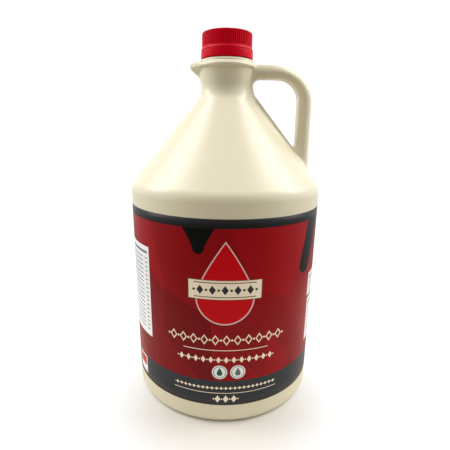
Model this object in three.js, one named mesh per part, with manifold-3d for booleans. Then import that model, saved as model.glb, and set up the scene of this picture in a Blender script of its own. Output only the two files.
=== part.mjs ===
// Round four-litre syrup jug: a blow-moulded body with a carrying handle and a
// pouring lip, a ribbed screw cap with its tamper band, and a wrap-round label.
// Millimetres, +Z up. The origin is the centre of the base, where it stands.
// The handle and the lip lie in the plane y = 0: handle towards +X, lip towards -X.

import * as THREE from 'three';
import { mergeVertices } from 'three/addons/utils/BufferGeometryUtils.js';
import Module from 'manifold-3d';

const degrees = Math.PI / 180;

// Wall of the body: almost a cylinder, a little wider at the shoulder
const wallTopRadius = 80.1;
const wallBottomRadius = 78.1;
const wallTop = 176.7;
const heelRound = 5;
const standingRingWidth = 12;
const baseDishHeight = 3;
const baseDishSlope = 5;

// Shoulder, cone and neck
const shoulderRound = 12.9;
const coneAngle = 50.8 * degrees;
const neckRadius = 21;
const neckFlare = 7 * degrees;
const coneToNeckRound = 16.1;

// Rim that the lip grows out of, the bead over it and the plug under the cap
const rimUnderside = 272.8;
const rimCoveWidth = 0.6;
const rimCoveHeight = 0.9;
const rimRadius = 24.4;
const rimHeight = 275.2;
const rimRound = 1.3;
const rimTop = 278.9;
const beadRadius = 21.6;
const beadTop = 280.2;
const beadRound = 0.3;
const finishRadius = 18.2;
const finishTop = 298;

// Handle: one slab with rounded edges and a long hole for the hand
const handleOuterX = 70.4;
const handleInnerX = 59.4;
const handleTop = 277.5;
const handleWidth = 20;
const handleEdgeRound = 3.8;
const handleEdgeDepth = 5.5;
const handleCornerStart = 36;
const handleCornerEnd = 248;
const handleCornerPullAlongTop = 6;
const handleCornerPullUpSide = 24;
const handleRootX = 12;
const handleRootTopX = 20;
const handleRootTopDrop = 4;
const handleRootBottomDrop = 20;
const handleFootRise = 6;
const handleFootInset = 8;
const handleFootDrop = 4;
const holeTop = 266.6;
const holeCornerRound = 17;
const holeNeckX = 22.3;
const holeNeckRound = 3.6;
const holeFootRound = 2.3;
const holeClearOfCone = 2.1;

// Pouring lip: the keel is the curve of its underside from the tip to the neck
const lipReach = 30.2;
const lipKeel = [[-30.2, 275], [-27.8, 270], [-22.6, 270.4], [-20.2, 262]];
const lipLow = 275.4;
const lipHigh = 279.1;
const lipCrown = 0.1;
const lipFlankAngle = 52 * degrees;
const lipNoseHalfWidth = 1;
const lipEdgeRound = 0.8;
const lipRootX = 17;
const lipRootHalfWidth = 15;
const lipStations = 8;
// The underside of a section: share of its width, share of the fall to the keel
const lipUnderside = [[0.65, 0.1], [0.4, 0.65]];

// Label and the shallow panel it is wrapped in
const labelBottom = 16;
const labelTop = 166.4;
const labelThickness = 0.4;
const labelUnderWall = 0.1;
const gap = 0.3;

// Screw cap and tamper band
const capTop = 300.6;
const capRadius = 20.1;
const capRound = 1.1;
const capSkirtBottom = 287.3;
const capSkirtRadius = 20.95;
const ribBottom = 289.2;
const ribCount = 74;
const ribDepth = 0.5;
const ribCrownShare = 0.2;
const ribFootShare = 0.3;
const capFootEdge = 0.4;
const clearOfCap = 4;
const capBore = 18.6;
const capBoreTop = 298.4;
const bandBottom = 280.8;
const bandTop = 287;
const bandRadius = 21.15;
const bandBore = 18.8;
const bandRound = 0.5;

// Fineness of the faceted solids
const bodySides = 96;
const capSides = 2 * ribCount;
const arcSteps = 6;

const wasm = await Module();
wasm.setup();

function solidFrom(geometry) {
  const bare = geometry.clone();
  bare.deleteAttribute('normal');
  bare.deleteAttribute('uv');
  const merged = mergeVertices(bare, 1e-4);
  const corners = merged.index.array;
  const kept = [];
  for (let i = 0; i < corners.length; i += 3) {
    const [a, b, c] = [corners[i], corners[i + 1], corners[i + 2]];
    if (a !== b && b !== c && c !== a) kept.push(a, b, c);
  }
  return new wasm.Manifold(new wasm.Mesh({
    numProp: 3,
    vertProperties: new Float32Array(merged.attributes.position.array),
    triVerts: new Uint32Array(kept),
  }));
}

function geometryFrom(solid) {
  const mesh = solid.getMesh();
  const geometry = new THREE.BufferGeometry();
  geometry.setAttribute('position', new THREE.BufferAttribute(mesh.vertProperties, 3));
  geometry.setIndex(new THREE.BufferAttribute(mesh.triVerts, 1));
  geometry.computeVertexNormals();
  return geometry;
}

// An arc in a profile or outline, about (x, y), from one angle to another.
function arc(x, y, radius, from, to, steps = arcSteps) {
  const points = [];
  for (let i = 0; i <= steps; i++) {
    const angle = from + ((to - from) * i) / steps;
    points.push(new THREE.Vector2(x + radius * Math.cos(angle), y + radius * Math.sin(angle)));
  }
  return points;
}

const at = (x, y) => new THREE.Vector2(x, y);

// Turns a profile of (radius, height) points about the Z axis.
function turned(profile, sides) {
  return new THREE.LatheGeometry(profile, sides).rotateX(Math.PI / 2);
}

// Extrudes an outline drawn in X and Z, centred on y = 0, with rounded edges.
function slab(outline, width, edgeRound, edgeDepth) {
  const depth = width - 2 * edgeDepth;
  const geometry = new THREE.ExtrudeGeometry(outline, {
    depth,
    steps: 1,
    curveSegments: 10,
    bevelThickness: edgeDepth,
    bevelSize: edgeRound,
    bevelOffset: -edgeRound,
    bevelSegments: 4,
  });
  return geometry.translate(0, 0, -depth / 2).rotateX(Math.PI / 2);
}

// Joins rings of equal length into one closed skin, with a fan at either end.
function lofted(rings) {
  const count = rings[0].length;
  const positions = rings.flat(2);
  const corners = [];
  for (let i = 0; i + 1 < rings.length; i++) {
    for (let j = 0; j < count; j++) {
      const a = i * count + j;
      const b = i * count + ((j + 1) % count);
      corners.push(a, a + count, b, b, a + count, b + count);
    }
  }
  const end = (rings.length - 1) * count;
  for (let j = 1; j + 1 < count; j++) {
    corners.push(0, j, j + 1, end, end + j + 1, end + j);
  }
  const geometry = new THREE.BufferGeometry();
  geometry.setAttribute('position', new THREE.Float32BufferAttribute(positions, 3));
  geometry.setIndex(corners);
  return geometry;
}

function wallRadius(height) {
  return wallBottomRadius + ((wallTopRadius - wallBottomRadius) * height) / wallTop;
}

// Where the cone leaves the shoulder, and the height where it has become the neck.
const coneNormal = Math.PI / 2 - coneAngle;
const coneStart = at(
  wallTopRadius - shoulderRound * (1 - Math.cos(coneNormal)),
  wallTop + shoulderRound * Math.sin(coneNormal),
);
const coneEndRadius = neckRadius + coneToNeckRound * (1 - Math.cos(coneNormal));
const coneEndHeight = coneStart.y + (coneStart.x - coneEndRadius) * Math.tan(coneAngle);
const waistHeight = coneEndHeight + coneToNeckRound * Math.sin(coneNormal);

function bodyProfile() {
  const heelX = wallRadius(heelRound) - heelRound;
  const dishX = heelX - standingRingWidth;
  const panelDepth = labelUnderWall + labelThickness + gap;
  const panelBottom = labelBottom - gap;
  const panelTop = labelTop + gap;
  const neckCurve = arc(neckRadius + coneToNeckRound, waistHeight, coneToNeckRound,
    Math.PI + coneNormal, Math.PI - neckFlare, 5);
  const flareStart = neckCurve[neckCurve.length - 1];
  const neckTopRadius = flareStart.x + (rimUnderside - flareStart.y) * Math.tan(neckFlare);
  return [
    at(0, baseDishHeight),
    at(dishX - baseDishSlope, baseDishHeight),
    at(dishX, 0),
    ...arc(heelX, heelRound, heelRound, -Math.PI / 2, 0, 4),
    at(wallRadius(panelBottom), panelBottom),
    at(wallRadius(panelBottom) - panelDepth, panelBottom),
    at(wallRadius(panelTop) - panelDepth, panelTop),
    at(wallRadius(panelTop), panelTop),
    ...arc(wallTopRadius - shoulderRound, wallTop, shoulderRound, 0, coneNormal, 5),
    ...neckCurve,
    at(neckTopRadius, rimUnderside),
    at(neckTopRadius + rimCoveWidth, rimUnderside + rimCoveHeight),
    ...arc(rimRadius - rimRound, rimHeight, rimRound, -Math.PI / 3, Math.PI / 6, 4),
    at(beadRadius - beadRound, rimTop),
    at(beadRadius, rimTop + beadRound),
    at(beadRadius, beadTop - beadRound),
    at(beadRadius - beadRound, beadTop),
    at(finishRadius, beadTop),
    at(finishRadius, finishTop),
    at(0, finishTop),
  ];
}

// The hole for the hand: its foot lies in the corner between cone and handle.
function handHole() {
  const slopeX = Math.cos(coneAngle);
  const slopeZ = Math.sin(coneAngle);
  // A point on the slanted edge: the cone's line moved out by the clear strip.
  const edgeX = coneStart.x + holeClearOfCone * slopeZ;
  const edgeZ = coneStart.y + holeClearOfCone * slopeX;
  const edgeHeight = (x) => edgeZ + ((edgeX - x) * slopeZ) / slopeX;
  const footX = handleInnerX - holeFootRound;
  const footZ = edgeHeight(footX - holeFootRound * slopeZ) + holeFootRound * slopeX;
  const bendX = holeNeckX + coneToNeckRound;
  const bendZ = edgeHeight(bendX - coneToNeckRound * slopeZ) + coneToNeckRound * slopeX;
  const clockwise = [
    ...arc(handleInnerX - holeCornerRound, holeTop - holeCornerRound, holeCornerRound,
      Math.PI / 2, 0, 8),
    ...arc(footX, footZ, holeFootRound, 0, coneNormal - Math.PI, 6),
    ...arc(bendX, bendZ, coneToNeckRound, coneNormal + Math.PI, Math.PI, 4),
    ...arc(holeNeckX + holeNeckRound, holeTop - holeNeckRound, holeNeckRound,
      Math.PI, Math.PI / 2, 4),
  ];
  return new THREE.Path(clockwise.reverse());
}

function handle() {
  const outline = new THREE.Shape();
  outline.moveTo(handleRootX, handleTop - handleRootTopDrop);
  outline.lineTo(handleRootTopX, handleTop);
  outline.lineTo(handleCornerStart, handleTop);
  outline.bezierCurveTo(
    handleCornerStart + handleCornerPullAlongTop, handleTop,
    handleOuterX, handleCornerEnd + handleCornerPullUpSide,
    handleOuterX, handleCornerEnd,
  );
  outline.lineTo(handleOuterX, coneStart.y + handleFootRise);
  outline.lineTo(handleOuterX - handleFootInset, coneStart.y - handleFootDrop);
  outline.lineTo(handleRootX, waistHeight - handleRootBottomDrop);
  outline.holes.push(handHole());
  return slab(outline, handleWidth, handleEdgeRound, handleEdgeDepth);
}

// The lip is lofted from its tip back into the neck. Each section is a flat top
// as wide as the beak is there, an upright edge, and an underside that falls to the keel.
function pouringLip() {
  const keel = new THREE.CubicBezierCurve(...lipKeel.map(([x, z]) => at(x, z)));
  const section = (x, keelHeight) => {
    const flank = lipNoseHalfWidth + (x + lipReach) * Math.tan(lipFlankAngle);
    const width = Math.min(flank, lipRootHalfWidth);
    const fall = lipLow - keelHeight;
    const right = [
      [x, width - lipEdgeRound, lipHigh],
      [x, width, lipHigh - lipEdgeRound],
      [x, width, lipLow],
      ...lipUnderside.map(([across, down]) => [x, across * width, lipLow - down * fall]),
    ];
    return [
      [x, 0, lipHigh + lipCrown],
      ...right,
      [x, 0, keelHeight - lipCrown],
      ...right.map(([px, py, pz]) => [px, -py, pz]).reverse(),
    ];
  };
  const rings = [];
  for (let i = 0; i <= lipStations; i++) {
    const { x, y } = keel.getPoint(i / lipStations);
    rings.push(section(x, y));
  }
  rings.push(section(-lipRootX, keel.getPoint(1).y));
  return lofted(rings);
}

function jugBody() {
  const turnedBody = solidFrom(turned(bodyProfile(), bodySides));
  return geometryFrom(turnedBody.add(solidFrom(handle())).add(solidFrom(pouringLip())));
}

function labelWrap() {
  const outer = (height) => wallRadius(height) - labelUnderWall;
  return turned([
    at(outer(labelBottom) - labelThickness, labelBottom),
    at(outer(labelBottom), labelBottom),
    at(outer(labelTop), labelTop),
    at(outer(labelTop) - labelThickness, labelTop),
    at(outer(labelBottom) - labelThickness, labelBottom),
  ], bodySides);
}

// The cap's outer form before the ribs are cut: a cup with a rounded top edge.
function capCup() {
  return turned([
    at(capBore, capSkirtBottom),
    at(capSkirtRadius, capSkirtBottom),
    at(capSkirtRadius, capSkirtBottom + capFootEdge),
    at(capRadius, ribBottom),
    ...arc(capRadius - capRound, capTop - capRound, capRound, 0, Math.PI / 2, 3),
    at(0, capTop),
    at(0, capBoreTop),
    at(capBore, capBoreTop),
    at(capBore, capSkirtBottom),
  ], capSides);
}

function ribbedPrism() {
  const corners = [];
  const pitch = (2 * Math.PI) / ribCount;
  const tip = capRadius + clearOfCap;
  const root = capRadius - ribDepth;
  for (let i = 0; i < ribCount; i++) {
    const oneRib = [
      [-ribFootShare, root], [-ribCrownShare, tip], [ribCrownShare, tip], [ribFootShare, root],
    ];
    for (const [share, radius] of oneRib) {
      const angle = (i + share) * pitch;
      corners.push(at(radius * Math.cos(angle), radius * Math.sin(angle)));
    }
  }
  const outline = new THREE.Shape(corners);
  const depth = capTop - ribBottom + clearOfCap;
  return new THREE.ExtrudeGeometry(outline, { depth, bevelEnabled: false })
    .translate(0, 0, ribBottom);
}

function screwCap() {
  const footRadius = capRadius + clearOfCap;
  const footHeight = ribBottom - capSkirtBottom + clearOfCap;
  const plainFoot = new THREE.CylinderGeometry(footRadius, footRadius, footHeight, capSides)
    .rotateX(Math.PI / 2)
    .translate(0, 0, ribBottom - footHeight / 2);
  const kept = solidFrom(ribbedPrism()).add(solidFrom(plainFoot));
  return geometryFrom(solidFrom(capCup()).intersect(kept));
}

function tamperBand() {
  return turned([
    at(bandBore, bandBottom),
    at(bandRadius - bandRound, bandBottom),
    at(bandRadius, bandBottom + bandRound),
    at(bandRadius, bandTop - bandRound),
    at(bandRadius - bandRound, bandTop),
    at(bandBore, bandTop),
    at(bandBore, bandBottom),
  ], ribCount);
}

const creamPlastic = new THREE.MeshStandardMaterial({ color: 0xe6dfc4, roughness: 0.42, metalness: 0 });
const redPlastic = new THREE.MeshStandardMaterial({ color: 0xb80d22, roughness: 0.38, metalness: 0 });
const printedFilm = new THREE.MeshStandardMaterial({ color: 0x77141a, roughness: 0.25, metalness: 0 });

function piece(name, geometry, material) {
  const mesh = new THREE.Mesh(geometry, material);
  mesh.name = name;
  return mesh;
}

const group = new THREE.Group();
group.add(piece('jug_body', jugBody(), creamPlastic));
group.add(piece('label_wrap', labelWrap(), printedFilm));
group.add(piece('tamper_band', tamperBand(), redPlastic));
group.add(piece('screw_cap', screwCap(), redPlastic));

export default group;
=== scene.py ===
"""A shut four-litre syrup jug: blow-moulded body, printed wrap-round label,
tamper band and ribbed screw cap, standing on a pale studio floor.
Metres, +Z up. The handle points to +X, the pouring lip to -X, the camera looks along +Y."""
import math

import bpy
import numpy as np
from mathutils import Matrix, Vector


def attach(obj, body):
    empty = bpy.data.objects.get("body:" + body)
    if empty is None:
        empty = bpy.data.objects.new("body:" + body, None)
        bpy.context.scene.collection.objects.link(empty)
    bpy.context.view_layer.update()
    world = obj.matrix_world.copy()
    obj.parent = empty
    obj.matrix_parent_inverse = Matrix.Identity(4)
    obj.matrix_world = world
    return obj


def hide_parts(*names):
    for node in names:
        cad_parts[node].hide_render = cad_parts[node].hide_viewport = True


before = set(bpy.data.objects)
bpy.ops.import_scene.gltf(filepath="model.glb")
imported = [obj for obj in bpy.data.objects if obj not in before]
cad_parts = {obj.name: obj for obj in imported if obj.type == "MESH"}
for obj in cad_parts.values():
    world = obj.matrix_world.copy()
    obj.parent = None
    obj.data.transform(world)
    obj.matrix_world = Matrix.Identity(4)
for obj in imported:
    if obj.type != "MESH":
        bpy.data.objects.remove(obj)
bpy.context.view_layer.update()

# Jug body. One hollow moulding of cream polyethylene, blown in a split mould with
# its handle, web and pouring lip; where these meet the cone it swells into fillets.
# It is shut, so it is made as the one closed skin that shows.
WALL_TOP_RADIUS = 0.0801
WALL_BOTTOM_RADIUS = 0.0781
WALL_TOP = 0.1767
HEEL_ROUND = 0.005
STANDING_RING = 0.012
DISH_HEIGHT = 0.003
DISH_SLOPE = 0.005
DISH_EDGE = 0.001
SHOULDER_ROUND = 0.0129
CONE_ANGLE = math.radians(50.8)
CONE_TO_NECK_ROUND = 0.0161
NECK_RADIUS = 0.021
NECK_FLARE = math.radians(7)
RIM_RADIUS = 0.0244
RIM_HEIGHT = 0.2752
RIM_ROUND = 0.0017
RIM_ROUND_START = -math.pi / 3.2
RIM_ROUND_END = math.pi / 5
RIM_UNDERSIDE = 0.2728
RIM_COVE_WIDTH = 0.0006
RIM_COVE_HEIGHT = 0.0009
BEAD_RADIUS = 0.0222
BEAD_HEIGHT = 0.2801
BEAD_ROUND = 0.0013
BEAD_ROUND_START = -math.pi / 8
FINISH_RADIUS = 0.0182
FINISH_TOP = 0.298

HANDLE_HALF_WIDTH = 0.010
HANDLE_OUTER_X = 0.0704
HANDLE_INNER_X = 0.0594
HANDLE_TOP = 0.2775
HANDLE_EDGE_ROUND = 0.0064
HANDLE_CORNER_START = 0.036
HANDLE_CORNER_END = 0.248
HANDLE_CORNER_PULLS = (0.0070, 0.0246)
HANDLE_ROOT_X = 0.012
HANDLE_ROOT_DROP = 0.004
HANDLE_LEVEL_X = 0.020
HANDLE_FOOT_ABOVE_CONE = 0.006
HANDLE_FOOT_INSET = 0.008
HANDLE_FOOT_SINK = 0.004
WEB_LOW = 0.020
HANDLE_ZONE_X = 0.006
HANDLE_ZONE_HALF_WIDTH = 0.022
HANDLE_ZONE_Z = (0.170, 0.288)
HOLE_TOP = 0.2666
HOLE_CORNER_ROUND = 0.017
HOLE_NECK_X = 0.0217
HOLE_NECK_ROUND = 0.0060
HOLE_FOOT_ROUND = 0.0023
HOLE_CLEAR_OF_CONE = 0.0012
HOLE_EDGE_ROUND = 0.0050
WEB_EDGE_ROUND = 0.0008
WEB_BLEND = 1.3
WEB_FILLET = 0.0006
FOOT_FILLET = 0.003
FOOT_BLEND_X = (0.054, 0.064)
NECK_FILLET = 0.0010
NECK_BLEND_Z = (0.260, 0.268)

LIP_REACH = 0.0302
LIP_LOW = 0.2752
LIP_KEEL_TOP = LIP_LOW - 0.0004
LIP_TIP_PULL = (0.0024, 0.0054)
LIP_ROOT_PULL = (0.0016, 0.005)
LIP_ROOT_SINK = 0.0008
LIP_TOP = 0.2789
LIP_TOP_ROUND = 0.0022
LIP_ROOT_ROUND = 0.0025
LIP_NOSE_ROUND = 0.0014
LIP_ROOT_HEIGHT = 0.262
LIP_ROOT_X = 0.019
LIP_TOP_ANGLE = math.radians(52)
LIP_KEEL_ANGLE = math.radians(38)
LIP_ANGLE_TURN = 0.006
LIP_UNDERSIDE_SLOPE = 0.62
LIP_FILLET = 0.0012
LIP_ZONE_REACH = 0.003
LIP_ZONE_Z = (0.255, 0.284)


def arc(x, z, radius, start, end, steps):
    """Points on an arc about (x, z), angles in radians."""
    angles = np.linspace(start, end, steps + 1)
    return [(x + radius * math.cos(a), z + radius * math.sin(a)) for a in angles]


def bezier(a, b, c, d, steps):
    """Points on a cubic curve from a to d."""
    t = np.linspace(0, 1, steps + 1)[:, None]
    a, b, c, d = (np.array(p) for p in (a, b, c, d))
    points = (1 - t) ** 3 * a + 3 * (1 - t) ** 2 * t * b + 3 * (1 - t) * t**2 * c + t**3 * d
    return [tuple(p) for p in points]


def wall_radius(height):
    """Radius of the slightly tapered wall at a height."""
    return WALL_BOTTOM_RADIUS + (WALL_TOP_RADIUS - WALL_BOTTOM_RADIUS) * height / WALL_TOP


cone_normal = math.pi / 2 - CONE_ANGLE
cone_start_x = WALL_TOP_RADIUS - SHOULDER_ROUND * (1 - math.cos(cone_normal))
cone_start_z = WALL_TOP + SHOULDER_ROUND * math.sin(cone_normal)
cone_end_x = NECK_RADIUS + CONE_TO_NECK_ROUND * (1 - math.cos(cone_normal))
cone_end_z = cone_start_z + (cone_start_x - cone_end_x) * math.tan(CONE_ANGLE)
waist_z = cone_end_z + CONE_TO_NECK_ROUND * math.sin(cone_normal)


def body_profile():
    """Half section of the turned body as (radius, height), from the base up to the finish."""
    heel_x = wall_radius(HEEL_ROUND) - HEEL_ROUND
    dish_x = heel_x - STANDING_RING
    bend_x = NECK_RADIUS + CONE_TO_NECK_ROUND
    neck_top = arc(bend_x, waist_z, CONE_TO_NECK_ROUND, math.pi + cone_normal, math.pi - NECK_FLARE, 30)
    flare_x = neck_top[-1][0] + (RIM_UNDERSIDE - neck_top[-1][1]) * math.tan(NECK_FLARE)
    return [
        (0.0, DISH_HEIGHT),
        (dish_x - DISH_SLOPE - DISH_EDGE, DISH_HEIGHT),
        (dish_x - DISH_SLOPE + 0.5 * DISH_EDGE, DISH_HEIGHT - 0.6 * DISH_EDGE),
        (dish_x - DISH_EDGE, 0.4 * DISH_EDGE),
        (dish_x, 0.0),
        *arc(heel_x, HEEL_ROUND, HEEL_ROUND, -math.pi / 2, 0, 16),
        *arc(WALL_TOP_RADIUS - SHOULDER_ROUND, WALL_TOP, SHOULDER_ROUND, 0, cone_normal, 24),
        *neck_top,
        (flare_x, RIM_UNDERSIDE),
        (flare_x + RIM_COVE_WIDTH, RIM_UNDERSIDE + RIM_COVE_HEIGHT),
        *arc(RIM_RADIUS - RIM_ROUND, RIM_HEIGHT, RIM_ROUND, RIM_ROUND_START, RIM_ROUND_END, 10),
        *arc(BEAD_RADIUS - BEAD_ROUND, BEAD_HEIGHT - BEAD_ROUND, BEAD_ROUND,
             BEAD_ROUND_START, math.pi / 2, 10),
        (FINISH_RADIUS, BEAD_HEIGHT),
        (FINISH_RADIUS, FINISH_TOP),
        (0.0, FINISH_TOP),
    ]


def handle_outline():
    """Outer edge of the handle and its web in the plane y = 0; the left part lies in the body."""
    return [
        (HANDLE_ROOT_X, HANDLE_TOP - HANDLE_ROOT_DROP),
        (HANDLE_LEVEL_X, HANDLE_TOP),
        *bezier(
            (HANDLE_CORNER_START, HANDLE_TOP),
            (HANDLE_CORNER_START + HANDLE_CORNER_PULLS[0], HANDLE_TOP),
            (HANDLE_OUTER_X, HANDLE_CORNER_END + HANDLE_CORNER_PULLS[1]),
            (HANDLE_OUTER_X, HANDLE_CORNER_END),
            28,
        ),
        (HANDLE_OUTER_X, cone_start_z + HANDLE_FOOT_ABOVE_CONE),
        (HANDLE_OUTER_X - HANDLE_FOOT_INSET, cone_start_z - HANDLE_FOOT_SINK),
        (HANDLE_ROOT_X, waist_z - WEB_LOW),
    ]


def hole_outline():
    """Edge of the hole for the hand: it keeps a strip of web clear of the cone and neck."""
    slope_x, slope_z = math.cos(CONE_ANGLE), math.sin(CONE_ANGLE)
    edge_x = cone_start_x + HOLE_CLEAR_OF_CONE * slope_z
    edge_z = cone_start_z + HOLE_CLEAR_OF_CONE * slope_x
    foot_x = HANDLE_INNER_X - HOLE_FOOT_ROUND
    bend_x = HOLE_NECK_X + CONE_TO_NECK_ROUND

    def above_edge(x, radius):
        height = edge_z + (edge_x - x + radius * slope_z) * slope_z / slope_x
        return height + radius * slope_x

    return [
        *arc(HANDLE_INNER_X - HOLE_CORNER_ROUND, HOLE_TOP - HOLE_CORNER_ROUND, HOLE_CORNER_ROUND,
             math.pi / 2, 0, 22),
        *arc(foot_x, above_edge(foot_x, HOLE_FOOT_ROUND), HOLE_FOOT_ROUND, 0, cone_normal - math.pi, 12),
        *arc(bend_x, above_edge(bend_x, CONE_TO_NECK_ROUND), CONE_TO_NECK_ROUND,
             cone_normal + math.pi, math.pi, 12),
        *arc(HOLE_NECK_X + HOLE_NECK_ROUND, HOLE_TOP - HOLE_NECK_ROUND, HOLE_NECK_ROUND,
             math.pi, math.pi / 2, 8),
    ]


def outline_distance(x, z, outline, batch=40000):
    """Distance from points to a closed outline, negative inside it."""
    corners = np.array(outline)
    ends = np.roll(corners, -1, axis=0)
    along = ends - corners
    keep = (along**2).sum(axis=1) > 1e-16
    corners, ends, along = corners[keep], ends[keep], along[keep]
    length_squared = (along**2).sum(axis=1)
    result = np.empty(len(x))
    for first in range(0, len(x), batch):
        part = slice(first, first + batch)
        dx = x[part, None] - corners[:, 0]
        dz = z[part, None] - corners[:, 1]
        share = np.clip((dx * along[:, 0] + dz * along[:, 1]) / length_squared, 0, 1)
        near = (dx - share * along[:, 0]) ** 2 + (dz - share * along[:, 1]) ** 2
        spans = (corners[:, 1] <= z[part, None]) != (ends[:, 1] <= z[part, None])
        with np.errstate(divide="ignore", invalid="ignore"):
            crossing = corners[:, 0] + along[:, 0] * dz / along[:, 1]
        inside = (spans & (x[part, None] < crossing)).sum(axis=1) % 2 == 1
        result[part] = np.sqrt(near.min(axis=1)) * np.where(inside, -1, 1)
    return result


def rounded_overlap(a, b, radius):
    """The overlap of two solids with its outer edge rounded."""
    corner = np.hypot(np.maximum(a + radius, 0), np.maximum(b + radius, 0))
    return np.minimum(np.maximum(a, b), -radius) + corner


def filleted_join(a, b, radius):
    """Two solids joined, with a fillet in the corner between them."""
    corner = np.hypot(np.maximum(radius - a, 0), np.maximum(radius - b, 0))
    return np.maximum(radius, np.minimum(a, b)) - corner


def ease(value, start, end):
    """0 before start, 1 after end, smooth between."""
    t = np.clip((value - start) / (end - start), 0, 1)
    return t * t * (3 - 2 * t)


profile = body_profile()
handle_edge = handle_outline()
hole_edge = hole_outline()
lip_keel = np.array(bezier(
    (-LIP_REACH, LIP_KEEL_TOP),
    (-LIP_REACH + LIP_TIP_PULL[0], LIP_LOW - LIP_TIP_PULL[1]),
    (-NECK_RADIUS - LIP_ROOT_PULL[0], LIP_LOW - LIP_ROOT_PULL[1]),
    (-NECK_RADIUS + LIP_ROOT_SINK, LIP_ROOT_HEIGHT),
    40,
))[::-1]


def turned_distance(x, y, z):
    """Distance to the turned body; points at one radius and height are worked out once."""
    places, which = np.unique(np.round(np.hypot(x, y), 9) + 1j * z, return_inverse=True)
    return outline_distance(places.real, places.imag, profile)[which.ravel()]


def handle_distance(x, y, z):
    """Handle and web: a slab with rounded edges and the rounded hole through it."""
    side = np.abs(y) - HANDLE_HALF_WIDTH
    outer = outline_distance(x, z, handle_edge)
    slab = rounded_overlap(outer, side, HANDLE_EDGE_ROUND)
    bar_width = HANDLE_OUTER_X - HANDLE_INNER_X
    in_web = ease(-outer, bar_width, WEB_BLEND * bar_width)
    hole_round = HOLE_EDGE_ROUND + (WEB_EDGE_ROUND - HOLE_EDGE_ROUND) * in_web
    return rounded_overlap(slab, -outline_distance(x, z, hole_edge), hole_round)


def lip_distance(x, y, z):
    """A beak: flanks that meet in a rounded nose, which runs back to the neck as it falls."""
    nose = -np.interp(z, lip_keel[:, 1], lip_keel[:, 0])
    angle = LIP_KEEL_ANGLE + (LIP_TOP_ANGLE - LIP_KEEL_ANGLE) * ease(z, LIP_LOW - LIP_ANGLE_TURN, LIP_LOW)
    tip = nose + LIP_NOSE_ROUND / np.tan(angle)
    flank = (-x - tip) * np.sin(angle) + np.hypot(y, LIP_NOSE_ROUND) * np.cos(angle)
    steepness = np.where(z < LIP_KEEL_TOP, LIP_UNDERSIDE_SLOPE, 1.0)
    flank = rounded_overlap(flank * steepness, z - LIP_TOP, LIP_TOP_ROUND)
    return rounded_overlap(flank, x + LIP_ROOT_X, LIP_ROOT_ROUND)


def body_distance(points):
    """Signed distance of points to the whole moulding, in metres."""
    x, y, z = points.T
    result = turned_distance(x, y, z)
    near = (x > HANDLE_ZONE_X) & (np.abs(y) < HANDLE_ZONE_HALF_WIDTH)
    near &= (z > HANDLE_ZONE_Z[0]) & (z < HANDLE_ZONE_Z[1])
    if near.any():
        hx, hy, hz = x[near], y[near], z[near]
        fillet = WEB_FILLET + (FOOT_FILLET - WEB_FILLET) * ease(hx, *FOOT_BLEND_X)
        fillet = fillet + (NECK_FILLET - WEB_FILLET) * ease(hz, *NECK_BLEND_Z)
        result[near] = filleted_join(result[near], handle_distance(hx, hy, hz), fillet)
    near = (x < LIP_ZONE_REACH - LIP_ROOT_X) & (z > LIP_ZONE_Z[0]) & (z < LIP_ZONE_Z[1])
    if near.any():
        result[near] = filleted_join(result[near], lip_distance(x[near], y[near], z[near]), LIP_FILLET)
    return result


def spaced(*stops):
    """Grid lines through (position, step) stops, each step used up to the next stop."""
    lines = []
    for (start, step), (end, _) in zip(stops, stops[1:]):
        count = max(1, round((end - start) / step))
        lines.extend(start + (end - start) * i / count for i in range(count))
    return np.array(lines + [stops[-1][0]])


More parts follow.
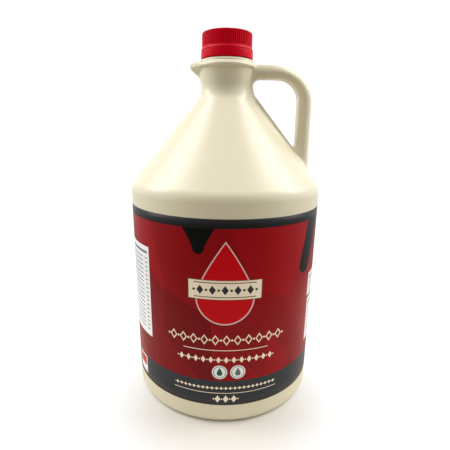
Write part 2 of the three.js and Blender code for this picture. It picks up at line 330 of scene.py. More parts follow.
def skin_of(distance, radii, angles, heights, rounds=3, least_slope=0.05, largest_move=0.0015):
    """Closed mesh of the surface where distance is zero, on a grid of radius, angle and height.
    Each cell that the surface crosses gets one corner, which is then moved onto the surface."""
    shape = (len(radii), len(angles), len(heights))
    r, a, h = np.meshgrid(radii, angles, heights, indexing="ij")
    nodes = np.stack([r * np.cos(a), r * np.sin(a), h], axis=-1)
    values = distance(nodes.reshape(-1, 3)).reshape(shape)
    inside = values < 0
    total = np.zeros((shape[0] - 1, shape[1], shape[2] - 1, 3))
    count = np.zeros(total.shape[:3], int)
    edges = []
    for axis in range(3):
        other = np.roll(inside, -1, axis=1) if axis == 1 else np.delete(inside, 0, axis=axis)
        base = inside if axis == 1 else np.delete(inside, -1, axis=axis)
        starts = np.argwhere(base != other)
        ends = starts.copy()
        ends[:, axis] += 1
        ends[:, 1] %= shape[1]
        va, vb = values[tuple(starts.T)], values[tuple(ends.T)]
        share = (va / (va - vb))[:, None]
        crossing = nodes[tuple(starts.T)] * (1 - share) + nodes[tuple(ends.T)] * share
        ring = []
        across = [k for k in range(3) if k != axis]
        for back in ((0, 0), (1, 0), (1, 1), (0, 1)):
            cell = starts.copy()
            for k, step in zip(across, back):
                cell[:, k] -= step
            cell[:, 1] %= shape[1]
            ring.append(cell)
        ring = np.stack(ring, axis=1)
        valid = (ring[..., 0] >= 0) & (ring[..., 0] < shape[0] - 1)
        valid &= (ring[..., 2] >= 0) & (ring[..., 2] < shape[2] - 1)
        for k in range(4):
            good = valid[:, k]
            where = tuple(ring[good, k].T)
            np.add.at(total, where, crossing[good])
            np.add.at(count, where, 1)
        edges.append(ring[valid.all(axis=1)])
    number = np.full(count.shape, -1)
    used = count > 0
    number[used] = np.arange(used.sum())
    corners = total[used] / count[used][:, None]
    quads = np.concatenate([number[tuple(np.moveaxis(ring, -1, 0))] for ring in edges])

    def value_and_slope(points, step=1e-5):
        here = distance(points)
        columns = [(distance(points + step * offset) - here) / step for offset in np.eye(3)]
        return here, np.stack(columns, axis=1)

    for _ in range(rounds):
        here, gradient = value_and_slope(corners)
        size = np.maximum((gradient**2).sum(axis=1), least_slope)
        move = (here / size)[:, None] * gradient
        corners = corners - np.clip(move, -largest_move, largest_move)
    normals = value_and_slope(corners)[1]
    normals /= np.maximum(np.linalg.norm(normals, axis=1), 1e-9)[:, None]
    a, b, c, d = (corners[quads[:, k]] for k in range(4))
    facing = np.cross(c - a, d - b)
    flipped = (facing * normals[quads].sum(axis=1)).sum(axis=1) < 0
    quads[flipped] = quads[flipped][:, ::-1]
    faces = [tuple(q) for q in quads.tolist()]
    on_axis = inside[0, 0, 1:] != inside[0, 0, :-1]
    for level in np.flatnonzero(on_axis):
        loop = number[0, :, level].tolist()
        faces.append(tuple(loop) if inside[0, 0, level] else tuple(loop[::-1]))
    return corners, faces, normals


def mesh_object(name, corners, faces, normals=None):
    """A smooth-shaded object in the frame's own place."""
    mesh = bpy.data.meshes.new(name)
    mesh.from_pydata([tuple(c) for c in corners], [], faces)
    mesh.validate()
    mesh.polygons.foreach_set("use_smooth", [True] * len(mesh.polygons))
    if normals is not None:
        mesh.normals_split_custom_set_from_vertices([tuple(n) for n in normals])
    mesh.update()
    piece = bpy.data.objects.new(name, mesh)
    bpy.context.scene.collection.objects.link(piece)
    return piece


# The grid is finest where the handle, the lip and the rim stand out.
grid_radii = spaced(
    (0.0, 0.009), (0.018, 0.0008), (0.0198, 0.00045), (0.0316, 0.0011), (0.056, 0.0009),
    (0.0826, 0.001),
)
grid_angles = np.radians(spaced(
    (-36.0, 0.8), (36.0, 3.0), (144.0, 1.5), (216.0, 3.0), (324.0, 1.0),
))[:-1]
grid_heights = spaced(
    (-0.0021, 0.0008), (0.0075, 0.002), (0.0115, 0.008), (0.1715, 0.0011), (0.2555, 0.0006),
    (0.2705, 0.00035), (0.2815, 0.003), (0.2965, 0.0008), (0.2997, 0.001),
)
jug = mesh_object("jug_body_skin", *skin_of(body_distance, grid_radii, grid_angles, grid_heights))


def node_in(tree, kind, **settings):
    """A shader node with plain settings and constants, by socket name."""
    node = tree.nodes.new(kind)
    for key, value in settings.items():
        if key in node.inputs:
            node.inputs[key].default_value = value
        else:
            setattr(node, key, value)
    return node


FINE_GRAIN = 9.0
GRAIN_TONES = (0.3, 0.7)
ROUGHNESS_SPREAD = 0.03


def moulded_grain():
    """Node group: the faint mottle of moulded plastic as a tone, and its skin as a height."""
    group = bpy.data.node_groups.new("moulded_grain", "ShaderNodeTree")
    group.interface.new_socket("Size", in_out="INPUT", socket_type="NodeSocketFloat")
    group.interface.new_socket("Tone", in_out="OUTPUT", socket_type="NodeSocketFloat")
    group.interface.new_socket("Skin", in_out="OUTPUT", socket_type="NodeSocketFloat")
    start = group.nodes.new("NodeGroupInput")
    end = group.nodes.new("NodeGroupOutput")
    place = group.nodes.new("ShaderNodeTexCoord")
    cloud = node_in(group, "ShaderNodeTexNoise", Detail=3.0, Roughness=0.5)
    skin = node_in(group, "ShaderNodeTexNoise", Detail=2.0, Roughness=0.4)
    finer = node_in(group, "ShaderNodeMath", operation="MULTIPLY")
    finer.inputs[1].default_value = FINE_GRAIN
    group.links.new(start.outputs["Size"], cloud.inputs["Scale"])
    group.links.new(start.outputs["Size"], finer.inputs[0])
    group.links.new(finer.outputs[0], skin.inputs["Scale"])
    group.links.new(place.outputs["Object"], cloud.inputs["Vector"])
    group.links.new(place.outputs["Object"], skin.inputs["Vector"])
    group.links.new(cloud.outputs["Fac"], end.inputs["Tone"])
    group.links.new(skin.outputs["Fac"], end.inputs["Skin"])
    return group


grain_group = moulded_grain()


def plastic(name, dark, light, roughness, sheen, grain_size, skin_depth):
    """A moulded plastic: two near shades mixed by the grain, and a faint uneven skin."""
    material = bpy.data.materials.new(name)
    material.use_nodes = True
    tree = material.node_tree
    shader = tree.nodes["Principled BSDF"]
    grain = node_in(tree, "ShaderNodeGroup", node_tree=grain_group)
    grain.inputs["Size"].default_value = grain_size
    colour = node_in(tree, "ShaderNodeMix", data_type="RGBA")
    colour.inputs["A"].default_value = (*dark, 1)
    colour.inputs["B"].default_value = (*light, 1)
    bump = node_in(tree, "ShaderNodeBump", Strength=0.5, Distance=skin_depth)
    spread = node_in(tree, "ShaderNodeMapRange")
    spread.inputs["From Min"].default_value = GRAIN_TONES[0]
    spread.inputs["From Max"].default_value = GRAIN_TONES[1]
    spread.inputs["To Min"].default_value = roughness - ROUGHNESS_SPREAD
    spread.inputs["To Max"].default_value = roughness + ROUGHNESS_SPREAD
    tree.links.new(grain.outputs["Tone"], colour.inputs["Factor"])
    tree.links.new(grain.outputs["Tone"], spread.inputs["Value"])
    tree.links.new(grain.outputs["Skin"], bump.inputs["Height"])
    tree.links.new(colour.outputs["Result"], shader.inputs["Base Color"])
    tree.links.new(spread.outputs["Result"], shader.inputs["Roughness"])
    tree.links.new(bump.outputs["Normal"], shader.inputs["Normal"])
    shader.inputs["Specular IOR Level"].default_value = sheen
    return material


cream = plastic(
    "cream_plastic",
    dark=(0.720, 0.655, 0.470),
    light=(0.750, 0.690, 0.500),
    roughness=0.31,
    sheen=0.6,
    grain_size=30.0,
    skin_depth=0.00012,
)
jug.data.materials.append(cream)
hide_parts("jug_body")
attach(jug, "root")

# Label. A satin printed film wrapped once round the wall and glued, its end lapped
# over its start at the back. The print is plain fields, drips, rules, lozenge rows,
# two badges and a medallion.
LABEL_BOTTOM = 0.0167
LABEL_TOP = 0.1662
LABEL_FILM = 0.00012
LABEL_LIFT = 1.1 * LABEL_FILM
LABEL_GLUE = 0.00003
LABEL_LAP = math.radians(3.5)
LABEL_COLUMNS = 240
LABEL_ROWS = 24
FILM_GRAIN = 22.0
FILM_SKIN = 0.00005
FILM_ROUGHNESS = 0.34
FILM_SHEEN = 0.12


def label_film():
    """The film as one closed strip: it spirals out by its own thickness at the lap."""
    turn = 2 * math.pi + LABEL_LAP
    angles = np.linspace(0, turn, LABEL_COLUMNS + 1) + math.pi / 2
    lift = LABEL_LIFT * ease(angles - math.pi / 2, turn - 2 * LABEL_LAP, turn - LABEL_LAP)
    heights = np.linspace(LABEL_BOTTOM, LABEL_TOP, LABEL_ROWS + 1)
    sheets = []
    for depth in (LABEL_FILM, 0.0):
        radius = (wall_radius(heights)[None, :] + lift[:, None]) + depth + LABEL_GLUE
        x = radius * np.cos(angles)[:, None]
        y = radius * np.sin(angles)[:, None]
        sheets.append(np.stack([x, y, np.broadcast_to(heights, x.shape)], axis=-1).reshape(-1, 3))
    corners = np.concatenate(sheets)
    rows = LABEL_ROWS + 1
    under = (LABEL_COLUMNS + 1) * rows
    faces = []
    for i in range(LABEL_COLUMNS):
        for j in range(LABEL_ROWS):
            a, b = i * rows + j, (i + 1) * rows + j
            faces.append((a, b, b + 1, a + 1))
            faces.append((under + a + 1, under + b + 1, under + b, under + a))
        a, b = i * rows, (i + 1) * rows
        faces.append((a, under + a, under + b, b))
        a, b = a + LABEL_ROWS, b + LABEL_ROWS
        faces.append((b, under + b, under + a, a))
    for j in range(LABEL_ROWS):
        faces.append((j + 1, under + j + 1, under + j, j))
        a = LABEL_COLUMNS * rows + j
        faces.append((a, under + a, under + a + 1, a + 1))
    return corners, faces


label = mesh_object("label_film", *label_film())
film = bpy.data.materials.new("printed_film")
film.use_nodes = True
film_tree = film.node_tree
film_shader = film_tree.nodes["Principled BSDF"]


def calc(operation, *terms):
    """A Math node on sockets or plain numbers; gives its output."""
    node = film_tree.nodes.new("ShaderNodeMath")
    node.operation = operation
    for slot, term in enumerate(terms):
        if isinstance(term, (int, float)):
            node.inputs[slot].default_value = term
        else:
            film_tree.links.new(term, node.inputs[slot])
    return node.outputs[0]


film_place = film_tree.nodes.new("ShaderNodeTexCoord")
film_axes = film_tree.nodes.new("ShaderNodeSeparateXYZ")
film_tree.links.new(film_place.outputs["Object"], film_axes.inputs[0])
# Print coordinates in millimetres: along the wall from the front's middle, and height.
PRINT_RADIUS = 79.0
towards_front = calc("MULTIPLY", film_axes.outputs["Y"], -1.0)
around = calc("MULTIPLY", calc("ARCTAN2", film_axes.outputs["X"], towards_front), PRINT_RADIUS)
height = calc("MULTIPLY", film_axes.outputs["Z"], 1000.0)
INK_EDGE = 0.12


def ink(distance):
    """1 where the distance in millimetres is below zero, with a fine soft edge."""
    return calc("MULTIPLY_ADD", distance, -1 / INK_EDGE, 0.5)


def hypotenuse(a, b):
    """Length of the long side over two sides at a right angle."""
    return calc("SQRT", calc("ADD", calc("MULTIPLY", a, a), calc("MULTIPLY", b, b)))


def from_middle(coordinate, middle):
    """Distance of a print coordinate from a middle, to either side."""
    return calc("ABSOLUTE", calc("SUBTRACT", coordinate, middle))


def box_shape(left, right, bottom, top):
    """Distance to a rectangle, negative inside it."""
    wide = calc("SUBTRACT", from_middle(around, (left + right) / 2), (right - left) / 2)
    high = calc("SUBTRACT", from_middle(height, (bottom + top) / 2), (top - bottom) / 2)
    return calc("MAXIMUM", wide, high)


def disc_shape(x, z, radius):
    """Distance to a disc, negative inside it."""
    reach = hypotenuse(calc("SUBTRACT", around, x), calc("SUBTRACT", height, z))
    return calc("SUBTRACT", reach, radius)


DRIP_CURVE = 1.25
DROP_CURVE = 1.35
DROP_EDGE_SCALE = 0.86
DOT_SHARE = 0.105
SOLID = 9.0


def drip_shape(x, z, radius, spread, lean):
    """A drip with a round end at (x, z), its sides curving apart as they rise."""
    up = calc("SUBTRACT", height, z)
    above = calc("MAXIMUM", up, 0.0)
    below = calc("MINIMUM", up, 0.0)
    dx = calc("SUBTRACT", calc("SUBTRACT", around, x), calc("MULTIPLY", above, lean))
    widening = calc("MULTIPLY", calc("POWER", above, DRIP_CURVE), spread)
    return calc("SUBTRACT", calc("SUBTRACT", hypotenuse(dx, below), radius), widening)


def drop_shape(x, z, radius, tip, shrink=0.0):
    """A syrup drop: a disc whose upper side runs up to a point at height tip."""
    up = calc("SUBTRACT", height, z)
    above = calc("MAXIMUM", up, 0.0)
    below = calc("MINIMUM", up, 0.0)
    dx = calc("SUBTRACT", around, x)
    share = calc("DIVIDE", above, tip - z)
    width = calc("MULTIPLY", calc("SUBTRACT", 1.0, calc("POWER", share, DROP_CURVE)), radius)
    outside = calc("SUBTRACT", hypotenuse(dx, below), width)
    return calc("ADD", calc("MULTIPLY", outside, DROP_EDGE_SCALE), shrink)


def lozenge_row(middle, pitch, count, z, half_width, half_height, stroke=SOLID):
    """A row of lozenges, hollow where the stroke is thin, with a dot in each gap and at the ends."""
    dot_radius = DOT_SHARE * pitch
    across = calc("PINGPONG", calc("SUBTRACT", around, middle), pitch / 2)
    up = from_middle(height, z)
    lozenge = calc("ADD", calc("DIVIDE", across, half_width), calc("DIVIDE", up, half_height))
    lozenge = calc("MULTIPLY", calc("SUBTRACT", lozenge, 1.0), min(half_width, half_height))
    lozenge = calc("MAXIMUM", lozenge, calc("SUBTRACT", -stroke, lozenge))
    dot = calc("SUBTRACT", hypotenuse(calc("SUBTRACT", pitch / 2, across), up), dot_radius)
    outside = calc("SUBTRACT", from_middle(around, middle), pitch * count / 2 + dot_radius)
    return calc("MAXIMUM", calc("MINIMUM", lozenge, dot), outside)


def layer(colour, shape, shade):
    """Prints one shade over the colour so far, inside the shape."""
    mix = node_in(film_tree, "ShaderNodeMix", data_type="RGBA", clamp_factor=True)
    film_tree.links.new(ink(shape), mix.inputs["Factor"])
    film_tree.links.new(colour, mix.inputs["A"])
    mix.inputs["B"].default_value = (*shade, 1)
    return mix.outputs["Result"]


CHARCOAL = (0.034, 0.038, 0.044)
NIGHT = (0.012, 0.013, 0.013)
BLACK = (0.004, 0.004, 0.004)
PAPER = (0.86, 0.87, 0.87)
GREY_INK = (0.16, 0.17, 0.19)
GREEN_INK = (0.03, 0.12, 0.045)
CREAM_INK = (0.93, 0.81, 0.63)
PALE_INK = (0.70, 0.55, 0.52)
BRIGHT_RED = (0.58, 0.001, 0.006)
DARK_RED = (0.17, 0.002, 0.004)
MID_RED = (0.32, 0.003, 0.006)
BROWN = (0.16, 0.075, 0.025)
FACET_SCALE = 0.030
FACET_SLANT = 0.45
FACET_STRETCH = 0.55
FACET_EDGE = 0.018
FACET_EDGE_LIGHT = 0.35
SHADE_HEIGHT = 110.0
SHADE_SLOPE = 0.0024


def faceted_red():
    """The red ground: broad flat facets of near shades, with a faint lit edge on some."""
    flat = film_tree.nodes.new("ShaderNodeCombineXYZ")
    film_tree.links.new(calc("ADD", around, calc("MULTIPLY", height, FACET_SLANT)), flat.inputs[0])
    film_tree.links.new(calc("MULTIPLY", height, FACET_STRETCH), flat.inputs[1])
    facets = {"voronoi_dimensions": "2D", "Scale": FACET_SCALE, "Randomness": 1.0}
    cells = node_in(film_tree, "ShaderNodeTexVoronoi", **facets)
    edges = node_in(film_tree, "ShaderNodeTexVoronoi", feature="DISTANCE_TO_EDGE", **facets)
    film_tree.links.new(flat.outputs[0], cells.inputs["Vector"])
    film_tree.links.new(flat.outputs[0], edges.inputs["Vector"])
    split = film_tree.nodes.new("ShaderNodeSeparateColor")
    film_tree.links.new(cells.outputs["Color"], split.inputs[0])
    on_edge = calc("LESS_THAN", edges.outputs["Distance"], FACET_EDGE)
    lit = calc("ADD", split.outputs["Red"], calc("MULTIPLY", on_edge, FACET_EDGE_LIGHT))
    darker_below = calc("MULTIPLY", calc("SUBTRACT", SHADE_HEIGHT, height), SHADE_SLOPE)
    tone = node_in(film_tree, "ShaderNodeMix", data_type="RGBA", clamp_factor=True)
    tone.inputs["A"].default_value = (*DARK_RED, 1)
    tone.inputs["B"].default_value = (*MID_RED, 1)
    film_tree.links.new(calc("SUBTRACT", lit, darker_below), tone.inputs["Factor"])
    return tone.outputs["Result"]


PANEL_MARGIN = 2.5
PANEL_COLUMN = 6.5
PANEL_GAP = 3.5
PANEL_FOOT = 3.0
HEAD_TOP = 4.0
HEAD_BOTTOM = 6.0
RULES_TOP = 8.0
RULE_PITCH = 3.6
RULE_HALF = 0.45


def side_panel(colour, left, right, bottom, top):
    """A white panel ruled like a table: a heavy head, then long rules and short ones at the right."""
    colour = layer(colour, box_shape(left, right, bottom, top), PAPER)
    first, last = left + PANEL_MARGIN, right - PANEL_MARGIN
    colour = layer(colour, box_shape(first, last, top - HEAD_BOTTOM, top - HEAD_TOP), GREY_INK)
    within = calc("MULTIPLY", calc("FRACT", calc("DIVIDE", height, RULE_PITCH)), RULE_PITCH)
    rule = calc("SUBTRACT", from_middle(within, RULE_PITCH / 2), RULE_HALF)
    low, high = bottom + PANEL_FOOT, top - RULES_TOP
    long_rules = box_shape(first, right - PANEL_COLUMN - PANEL_GAP, low, high)
    short_rules = box_shape(right - PANEL_COLUMN, last, low, high)
    return layer(colour, calc("MAXIMUM", rule, calc("MINIMUM", long_rules, short_rules)), GREY_INK)


# Layout of the print, in the print coordinates.
HALF_ROUND = 260.0
LOWER_BAND_TOP = 38.5
UPPER_BAND_BOTTOM = 159.4
UPPER_BAND_TOP = 180.0
MEDALLION_X = 1.0
MEDALLION_DROP = (108.0, 22.0, 150.5)
MEDALLION_OUTLINE = 0.9
PLAQUE = (-26.0, 28.0, 106.5, 121.0)
PLAQUE_EDGE = 0.5
PLAQUE_RULE_INSET = 4.0
PLAQUE_RULE_HALF = 0.35
ROWS_X = 2.6
BADGE_HEIGHT = 46.2
BADGE_RADIUS = 5.9
BADGE_RING = 4.8
BADGE_RING_HALF = 0.25
BADGE_DROP = (-1.0, 2.2, 3.8)

ground = faceted_red()
ground = layer(ground, box_shape(-HALF_ROUND, HALF_ROUND, 0, LOWER_BAND_TOP), CHARCOAL)
ground = layer(ground, box_shape(-HALF_ROUND, HALF_ROUND, UPPER_BAND_BOTTOM, UPPER_BAND_TOP), NIGHT)
# Drips under the upper band: middle, height of the round end, its radius, spread and lean.
for drip in (
    (-18.6, 144.9, 4.4, 0.27, 0.0),
    (73.2, 124.8, 8.2, 0.02, 0.32),
    (126.0, 133.0, 3.8, 0.16, 0.0),
    (170.0, 145.0, 4.0, 0.25, 0.0),
    (-208.0, 127.0, 4.4, 0.14, 0.0),
    (-158.0, 143.0, 4.0, 0.24, 0.0),
):
    below_band = calc("SUBTRACT", height, UPPER_BAND_BOTTOM)
    ground = layer(ground, calc("MAXIMUM", drip_shape(*drip), below_band), BLACK)
for panel in ((-150.0, -64.8, 60.8, 137.6), (84.5, 170.0, 91.8, 112.4), (86.5, 170.0, 49.3, 89.0)):
    ground = side_panel(ground, *panel)
# Medallion: a bright drop with a pale outline, and a plaque with a plain ornament across it.
ground = layer(ground, drop_shape(MEDALLION_X, *MEDALLION_DROP), PALE_INK)
ground = layer(ground, drop_shape(MEDALLION_X, *MEDALLION_DROP, MEDALLION_OUTLINE), BRIGHT_RED)
left, right, bottom, top = PLAQUE
plaque_rim = box_shape(left - PLAQUE_EDGE, right + PLAQUE_EDGE, bottom - PLAQUE_EDGE, top + PLAQUE_EDGE)
ground = layer(ground, plaque_rim, BROWN)
ground = layer(ground, box_shape(*PLAQUE), CREAM_INK)
ground = layer(ground, lozenge_row(MEDALLION_X, 9.2, 5, 113.7, 2.6, 3.6), CHARCOAL)
for rule_z in (108.2, 119.3):
    ends = (left + PLAQUE_RULE_INSET, right - PLAQUE_RULE_INSET)
    rule = box_shape(*ends, rule_z - PLAQUE_RULE_HALF, rule_z + PLAQUE_RULE_HALF)
    ground = layer(ground, rule, BROWN)
# Two round badges, each with a small drop.
for x, badge_ink in ((-2.4, GREEN_INK), (11.7, GREY_INK)):
    ground = layer(ground, disc_shape(x, BADGE_HEIGHT, BADGE_RADIUS), PAPER)
    ring = calc("ABSOLUTE", disc_shape(x, BADGE_HEIGHT, BADGE_RING))
    ground = layer(ground, calc("SUBTRACT", ring, BADGE_RING_HALF), GREY_INK)
    low, radius, tip = BADGE_DROP
    ground = layer(ground, drop_shape(x, BADGE_HEIGHT + low, radius, BADGE_HEIGHT + tip), badge_ink)
# Rows of lozenges below the medallion and in the lower band: pitch, count, height, half
# width, half height and stroke. Then the fine rules between them.
for row in (
    (8.4, 11, 73.5, 3.0, 4.3, 1.05),
    (5.9, 13, 56.8, 1.9, 2.8, SOLID),
    (3.6, 23, 32.0, 1.2, 1.5, SOLID),
    (6.4, 3, 22.3, 2.3, 3.3, SOLID),
):
    ground = layer(ground, lozenge_row(ROWS_X, *row), CREAM_INK)
for rule in ((-31.0, 35.5, 64.6, 65.2), (-40.0, 45.0, 27.3, 27.8)):
    ground = layer(ground, box_shape(*rule), CREAM_INK)
# A small white tag with a red field, low on the left side.
ground = layer(ground, box_shape(-93.0, -76.5, 20.5, 36.5), PAPER)
ground = layer(ground, box_shape(-91.5, -78.0, 27.0, 35.0), BRIGHT_RED)

film_tree.links.new(ground, film_shader.inputs["Base Color"])
film_grain = node_in(film_tree, "ShaderNodeGroup", node_tree=grain_group)
film_grain.inputs["Size"].default_value = FILM_GRAIN
film_bump = node_in(film_tree, "ShaderNodeBump", Strength=0.4, Distance=FILM_SKIN)
film_tree.links.new(film_grain.outputs["Tone"], film_bump.inputs["Height"])
film_tree.links.new(film_bump.outputs["Normal"], film_shader.inputs["Normal"])
film_shader.inputs["Roughness"].default_value = FILM_ROUGHNESS
film_shader.inputs["Specular IOR Level"].default_value = FILM_SHEEN
label.data.materials.append(film)
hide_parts("label_wrap")
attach(label, "root")

# Tamper band. A thin ring of red polypropylene that stays on the neck; short bridges
# held it to the cap over the slit until it is first opened. The jug is unopened.
BAND_BOTTOM = 0.2808
BAND_TOP = 0.28718
BAND_RADIUS = 0.02115
BAND_BORE = 0.0188
BAND_ROUND = 0.0005
BAND_SIDES = 192
BRIDGE_COUNT = 12
BRIDGE_HALF_ANGLE = 0.02
BRIDGE_INNER = 0.0201
BRIDGE_OUTER = 0.0207
BRIDGE_SINK = 0.0002
BRIDGE_RISE = 0.0004


def turned_skin(profile_points, sides, ripple=None):
    """Turns a closed profile, or one with both ends on the axis, into a mesh. A ripple
    moves each corner outwards by a length that depends on its angle and profile point."""
    points = np.array(profile_points)
    angles = np.linspace(0, 2 * math.pi, sides, endpoint=False)
    radius = np.repeat(points[:, 0][:, None], sides, axis=1)
    if ripple is not None:
        radius = radius + ripple(angles[None, :], points[:, 0][:, None], points[:, 1][:, None])
    closed = points[0, 0] > 0
    corners = np.stack([
        radius * np.cos(angles),
        radius * np.sin(angles),
        np.repeat(points[:, 1][:, None], sides, axis=1),
    ], axis=-1)
    first, last = (0, len(points)) if closed else (1, len(points) - 1)
    flat = [tuple(c) for c in corners[first:last].reshape(-1, 3)]
    rows = last - first
    faces = []
    for i in range(rows if closed else rows - 1):
        for j in range(sides):
            a, b = i * sides, ((i + 1) % rows) * sides
            k = (j + 1) % sides
            faces.append((a + j, a + k, b + k, b + j))
    if not closed:
        faces.append(tuple(range(sides))[::-1])
        faces.append(tuple((rows - 1) * sides + j for j in range(sides)))
    return flat, faces


def band_profile():
    """Closed section of the ring, round at both outer edges."""
    return [
        (BAND_BORE, BAND_TOP),
        (BAND_BORE, BAND_BOTTOM),
        *arc(BAND_RADIUS - BAND_ROUND, BAND_BOTTOM + BAND_ROUND, BAND_ROUND, -math.pi / 2, 0, 5),
        *arc(BAND_RADIUS - BAND_ROUND, BAND_TOP - BAND_ROUND, BAND_ROUND, 0, math.pi / 2, 5),
    ]


def facing_out(corners, faces):
    """Turns the faces round if the closed mesh is inside out."""
    points = np.array(corners)
    volume = 0.0
    for face in faces:
        for k in range(1, len(face) - 1):
            volume += np.dot(points[face[0]], np.cross(points[face[k]], points[face[k + 1]]))
    return corners, faces if volume > 0 else [face[::-1] for face in faces]


def with_bridges(corners, faces):
    """Adds the short bridges over the slit, each a small post sunk in the ring."""
    corners, faces = list(corners), list(faces)
    half = BRIDGE_HALF_ANGLE
    foot = ((-half, BRIDGE_INNER), (-half, BRIDGE_OUTER), (half, BRIDGE_OUTER), (half, BRIDGE_INNER))
    for i in range(BRIDGE_COUNT):
        middle = 2 * math.pi * i / BRIDGE_COUNT
        start = len(corners)
        for z in (BAND_TOP - BRIDGE_SINK, BAND_TOP + BRIDGE_RISE):
            for turn, r in foot:
                corners.append((r * math.cos(middle + turn), r * math.sin(middle + turn), z))
        for face in ((3, 2, 1, 0), (4, 5, 6, 7), (0, 1, 5, 4), (1, 2, 6, 5), (2, 3, 7, 6), (3, 0, 4, 7)):
            faces.append(tuple(start + k for k in face))
    return corners, faces


ring_skin = facing_out(*turned_skin(band_profile(), BAND_SIDES))
band = mesh_object("tamper_ring", *with_bridges(*ring_skin))
red = plastic(
    "red_plastic",
    dark=(0.60, 0.0, 0.012),
    light=(0.67, 0.0, 0.015),
    roughness=0.34,
    sheen=0.07,
    grain_size=45.0,
    skin_depth=0.00006,
)
band.data.materials.append(red)
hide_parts("tamper_band")
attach(band, "root")

# Screw cap. Injection-moulded in the same red: a cup with fine grip ribs down its
# skirt, which end on a plain flared foot, and a shallow step in its top.
CAP_TOP = 0.3006
CAP_RADIUS = 0.0203
CAP_ROUND = 0.0011
CAP_STEP_INNER = 0.0165
CAP_STEP_OUTER = 0.0173
CAP_STEP_DEPTH = 0.0003
CAP_SKIRT_BOTTOM = 0.2873
CAP_SKIRT_RADIUS = 0.0211
CAP_EDGE = 0.0001
CAP_RIBS = 74
RIB_BOTTOM = 0.2892
RIB_DEPTH = 0.0005
RIB_SIDES = 12
RIB_FADE = 0.0001
GROOVE_WIDTH = 0.62
GROOVE_SLOPE = 0.5
GROOVE_POWER = 0.8
CAP_BORE = 0.0186
CAP_CEILING = 0.2984


def cap_profile():
    """Section of the cup from the middle of its top round to the middle of its ceiling."""
    round_x, round_z = CAP_RADIUS - CAP_ROUND, CAP_TOP - CAP_ROUND
    return [
        (0.0, CAP_TOP - CAP_STEP_DEPTH),
        (CAP_STEP_INNER, CAP_TOP - CAP_STEP_DEPTH),
        ((CAP_STEP_INNER + CAP_STEP_OUTER) / 2, CAP_TOP - CAP_STEP_DEPTH / 3),
        (CAP_STEP_OUTER, CAP_TOP),
        *arc(round_x, round_z, CAP_ROUND, math.pi / 2, 0, 8),
        *[(CAP_RADIUS, z) for z in np.linspace(round_z, RIB_BOTTOM, 10)[1:]],
        (CAP_RADIUS + CAP_EDGE, RIB_BOTTOM - 2 * CAP_EDGE),
        (CAP_SKIRT_RADIUS - 2 * CAP_EDGE, CAP_SKIRT_BOTTOM + 6 * CAP_EDGE),
        (CAP_SKIRT_RADIUS, CAP_SKIRT_BOTTOM + 3 * CAP_EDGE),
        (CAP_SKIRT_RADIUS - CAP_EDGE, CAP_SKIRT_BOTTOM),
        (CAP_BORE, CAP_SKIRT_BOTTOM),
        (CAP_BORE, CAP_CEILING),
        (0.0, CAP_CEILING),
    ]


def rib_ripple(angle, radius, z):
    """Round-topped ribs: a narrow groove between each two, fading at top and foot."""
    wave = 0.5 - 0.5 * np.cos(CAP_RIBS * angle)
    groove = np.clip((GROOVE_WIDTH - wave) / GROOVE_SLOPE, 0, 1) ** GROOVE_POWER
    on_skirt = radius > CAP_RADIUS - 0.9 * CAP_ROUND
    from_foot = ease(z, RIB_BOTTOM - RIB_FADE, RIB_BOTTOM + 3 * RIB_FADE)
    to_top = 1 - ease(z, CAP_TOP - 8 * RIB_FADE, CAP_TOP - RIB_FADE)
    return -RIB_DEPTH * groove * on_skirt * from_foot * to_top


cap_skin = turned_skin(cap_profile(), CAP_RIBS * RIB_SIDES, rib_ripple)
cap = mesh_object("ribbed_cap", *facing_out(*cap_skin))
cap.data.materials.append(red)
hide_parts("screw_cap")
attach(cap, "root")

# Studio. A round pale table top whose shadow is partly painted: near the jug the camera sees the table
# lit by the lamps, with their real shade, and from a middle just in front of the jug this fades into a
# painted white glow that only the camera sees, which sets the shadow's edge. A white room that is bright
# above and at the sides, and dark behind the camera, so that the jug's middle is dim.
TABLE_RADIUS = 0.28
TABLE_SIDES = 96
TABLE_SHADE = (0.63, 0.592, 0.532)
# Painted shadow edge: from this middle outwards the table fades into the camera's white glow; the shade
# inside is the lamps' own.
PAINTED_SHADOW_MIDDLE = (0.0, -0.05, 0.0)
SHADOW_FADE_START = 0.03
SHADOW_FADE_END = 0.125
WHITE = 1.15
FRONT_SHADE = (0.24, 0.218, 0.182)
FRONT_LEAN = 0.3
LAMP_PLACE = (0.86, 0.10, 1.00)
LAMP_AIM = (0.0, 0.0, 0.2)
LAMP_WIDTH = 0.5
LAMP_HEIGHT = 1.0
LAMP_WATTS = 8.8

table_mesh = bpy.data.meshes.new("studio_floor")
table_angles = np.linspace(0, 2 * math.pi, TABLE_SIDES, endpoint=False)
table_rim = [(TABLE_RADIUS * math.cos(a), TABLE_RADIUS * math.sin(a), 0.0) for a in table_angles]
table_mesh.from_pydata(table_rim, [], [tuple(range(TABLE_SIDES))])
floor = bpy.data.objects.new("studio_floor", table_mesh)
bpy.context.scene.collection.objects.link(floor)
paper = bpy.data.materials.new("studio_paper")
paper.use_nodes = True
paper_tree = paper.node_tree
paper_shader = paper_tree.nodes["Principled BSDF"]
paper_shader.inputs["Base Color"].default_value = (*TABLE_SHADE, 1)
paper_shader.inputs["Roughness"].default_value = 0.9
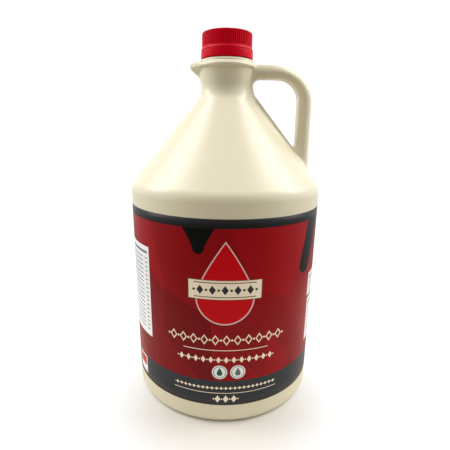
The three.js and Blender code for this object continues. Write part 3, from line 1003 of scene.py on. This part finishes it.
# Painted shadow and glow: the camera sees the lit table near the jug and a painted white glow further
# out.
white_glow = node_in(paper_tree, "ShaderNodeEmission", Strength=WHITE)
paper_place = paper_tree.nodes.new("ShaderNodeTexCoord")
away = node_in(paper_tree, "ShaderNodeVectorMath", operation="DISTANCE")
away.inputs[1].default_value = PAINTED_SHADOW_MIDDLE
shadow_fade = node_in(paper_tree, "ShaderNodeMapRange", interpolation_type="SMOOTHSTEP")
shadow_fade.inputs["From Min"].default_value = SHADOW_FADE_START
shadow_fade.inputs["From Max"].default_value = SHADOW_FADE_END
paper_ray = paper_tree.nodes.new("ShaderNodeLightPath")
seen_shadow_fade = node_in(paper_tree, "ShaderNodeMath", operation="MULTIPLY")
both = paper_tree.nodes.new("ShaderNodeMixShader")
paper_tree.links.new(paper_place.outputs["Object"], away.inputs[0])
paper_tree.links.new(away.outputs["Value"], shadow_fade.inputs["Value"])
paper_tree.links.new(shadow_fade.outputs["Result"], seen_shadow_fade.inputs[0])
paper_tree.links.new(paper_ray.outputs["Is Camera Ray"], seen_shadow_fade.inputs[1])
paper_tree.links.new(seen_shadow_fade.outputs[0], both.inputs["Fac"])
paper_tree.links.new(paper_shader.outputs["BSDF"], both.inputs[1])
paper_tree.links.new(white_glow.outputs["Emission"], both.inputs[2])
paper_tree.links.new(both.outputs[0], paper_tree.nodes["Material Output"].inputs["Surface"])
table_mesh.materials.append(paper)

world = bpy.data.worlds.new("studio_room")
bpy.context.scene.world = world
world.use_nodes = True
room = world.node_tree


def room_ramp(value, start, end, low, high):
    """A smooth step of a direction's part into a strength."""
    ramp = node_in(room, "ShaderNodeMapRange", interpolation_type="SMOOTHSTEP")
    room.links.new(value, ramp.inputs["Value"])
    for name, number in (("From Min", start), ("From Max", end), ("To Min", low), ("To Max", high)):
        ramp.inputs[name].default_value = number
    return ramp.outputs["Result"]


room_place = room.nodes.new("ShaderNodeTexCoord")
room_axes = room.nodes.new("ShaderNodeSeparateXYZ")
room.links.new(room_place.outputs["Generated"], room_axes.inputs[0])
lean = node_in(room, "ShaderNodeMath", operation="MULTIPLY_ADD")
lean.inputs[1].default_value = FRONT_LEAN
room.links.new(room_axes.outputs["Z"], lean.inputs[0])
room.links.new(room_axes.outputs["Y"], lean.inputs[2])
away_from_front = room_ramp(lean.outputs[0], start=-0.75, end=-0.30, low=0.0, high=1.0)
walls_above = room_ramp(room_axes.outputs["Z"], start=0.2, end=0.9, low=1.20, high=1.07)
walls_below = room_ramp(room_axes.outputs["Z"], start=-0.35, end=0.05, low=0.36, high=1.0)
walls = node_in(room, "ShaderNodeMath", operation="MULTIPLY")
room.links.new(walls_above, walls.inputs[0])
room.links.new(walls_below, walls.inputs[1])
light = node_in(room, "ShaderNodeMix", data_type="RGBA")
light.inputs["A"].default_value = (*FRONT_SHADE, 1)
room.links.new(away_from_front, light.inputs["Factor"])
room.links.new(walls.outputs[0], light.inputs["B"])
room_ray = room.nodes.new("ShaderNodeLightPath")
shown = node_in(room, "ShaderNodeMix", data_type="RGBA")
shown.inputs["B"].default_value = (WHITE, WHITE, WHITE, 1)
room.links.new(room_ray.outputs["Is Camera Ray"], shown.inputs["Factor"])
room.links.new(light.outputs["Result"], shown.inputs["A"])
room.links.new(shown.outputs["Result"], room.nodes["Background"].inputs["Color"])

# Two tall soft lamps, one at either side, a little behind the jug.
for side, lamp_name in ((-1, "diffuser_left"), (1, "diffuser_right")):
    lamp = bpy.data.lights.new(lamp_name, "AREA")
    lamp.shape = "RECTANGLE"
    lamp.size, lamp.size_y = LAMP_WIDTH, LAMP_HEIGHT
    lamp.energy = LAMP_WATTS
    holder = bpy.data.objects.new(lamp_name, lamp)
    holder.location = (side * LAMP_PLACE[0], LAMP_PLACE[1], LAMP_PLACE[2])
    aim = Vector(LAMP_AIM) - holder.location
    holder.rotation_euler = aim.to_track_quat("-Z", "Y").to_euler()
    bpy.context.scene.collection.objects.link(holder)

# Camera. It stands as the photo's camera does: a little above the jug's middle,
# close to it and tipped down, so that the cone's top is seen from slightly below.
CAMERA_BACK = 0.32755
CAMERA_HEIGHT = 0.22380
CAMERA_PITCH = math.radians(13.936)
CAMERA_ROLL = math.radians(0.8)
CAMERA_YAW = math.radians(0.05)
FOCAL_PIXELS = 372.76
FRAME_PIXELS = 450

lens = bpy.data.cameras.new("photo_camera")
lens.sensor_width = 36.0
lens.lens = FOCAL_PIXELS / FRAME_PIXELS * lens.sensor_width
lens.clip_start = 0.01
camera = bpy.data.objects.new("photo_camera", lens)
forward = Vector((
    math.sin(CAMERA_YAW) * math.cos(CAMERA_PITCH),
    math.cos(CAMERA_YAW) * math.cos(CAMERA_PITCH),
    -math.sin(CAMERA_PITCH),
))
level = Vector((math.cos(CAMERA_YAW), -math.sin(CAMERA_YAW), 0.0))
upward = level.cross(forward)
right = math.cos(CAMERA_ROLL) * level + math.sin(CAMERA_ROLL) * upward
top = -math.sin(CAMERA_ROLL) * level + math.cos(CAMERA_ROLL) * upward
turn = Matrix((right, top, -forward)).transposed()
camera.matrix_world = Matrix.Translation((0.0, -CAMERA_BACK, CAMERA_HEIGHT)) @ turn.to_4x4()
bpy.context.scene.collection.objects.link(camera)
bpy.context.scene.camera = camera
bpy.context.scene.view_settings.view_transform = "Standard"
